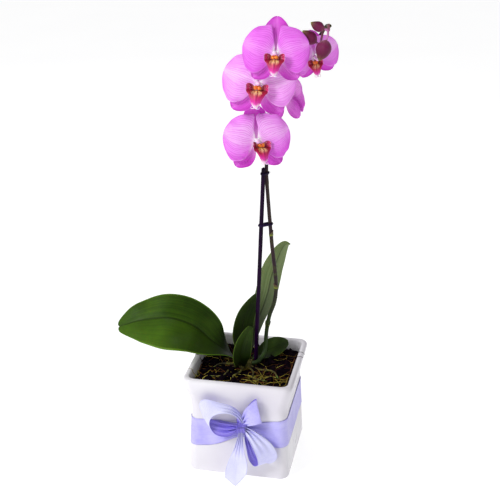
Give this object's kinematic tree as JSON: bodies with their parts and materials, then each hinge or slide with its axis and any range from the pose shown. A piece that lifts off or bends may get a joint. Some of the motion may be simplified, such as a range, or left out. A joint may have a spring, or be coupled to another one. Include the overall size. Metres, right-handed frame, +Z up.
{
  "type": "potted orchid",
  "caption": "Potted moth orchid: pink open flowers and buds on a staked spike over broad leaves, in a square glazed pot dressed with a satin ribbon and bow.",
  "frame": {"origin": "centre of the pot's flat underside", "axes": "+Z up; the bow and the faces of the three large flowers are on the -Y side; +X is to the right as one looks at the bow"},
  "size_m": [0.2745, 0.1609, 0.576],
  "materials": {
    "glazed_pot": "gloss",
    "bark_mix": "matte",
    "satin_ribbon": "satin",
    "crown_green": "satin",
    "leaf_green": "satin",
    "spike_green": "satin",
    "stake_purple": "satin",
    "tie_purple": "satin",
    "bud_maroon": "satin",
    "root_olive": "matte",
    "lip_crimson": "satin",
    "column_white": "satin",
    "petal_pink": "matte"
  },
  "bodies": {
    "root": {"bud_1": "bud_maroon", "bud_2": "bud_maroon", "bud_3": "bud_maroon", "crown": "crown_green", "flower_1_column": "column_white", "flower_1_lip": "lip_crimson", "flower_1_petal_left": "petal_pink", "flower_1_petal_right": "petal_pink", "flower_1_sepal_left": "petal_pink", "flower_1_sepal_right": "petal_pink", "flower_1_sepal_top": "petal_pink", "flower_2_column": "column_white", "flower_2_lip": "lip_crimson", "flower_2_petal_left": "petal_pink", "flower_2_petal_right": "petal_pink", "flower_2_sepal_left": "petal_pink", "flower_2_sepal_right": "petal_pink", "flower_2_sepal_top": "petal_pink", "flower_3_column": "column_white", "flower_3_lip": "lip_crimson", "flower_3_petal_left": "petal_pink", "flower_3_petal_right": "petal_pink", "flower_3_sepal_left": "petal_pink", "flower_3_sepal_right": "petal_pink", "flower_3_sepal_top": "petal_pink", "flower_4_column": "column_white", "flower_4_lip": "lip_crimson", "flower_4_petal_left": "petal_pink", "flower_4_petal_right": "petal_pink", "flower_4_sepal_left": "petal_pink", "flower_4_sepal_right": "petal_pink", "flower_4_sepal_top": "petal_pink", "flower_5_column": "column_white", "flower_5_lip": "lip_crimson", "flower_5_petal_left": "petal_pink", "flower_5_petal_right": "petal_pink", "flower_5_sepal_left": "petal_pink", "flower_5_sepal_right": "petal_pink", "flower_5_sepal_top": "petal_pink", "flower_spike": "spike_green", "leaf_back_left": "leaf_green", "leaf_back_tall": "leaf_green", "leaf_front_small": "leaf_green", "leaf_left": "leaf_green", "leaf_right_small": "leaf_green", "pot": "glazed_pot", "potting_mix": "bark_mix", "ribbon_band": "satin_ribbon", "ribbon_bow": "satin_ribbon", "root_1": "root_olive", "root_2": "root_olive", "root_3": "root_olive", "root_4": "root_olive", "root_5": "root_olive", "root_6": "root_olive", "stake": "stake_purple", "tie_lower": "tie_purple", "tie_upper": "tie_purple"}
  },
  "joints": []
}
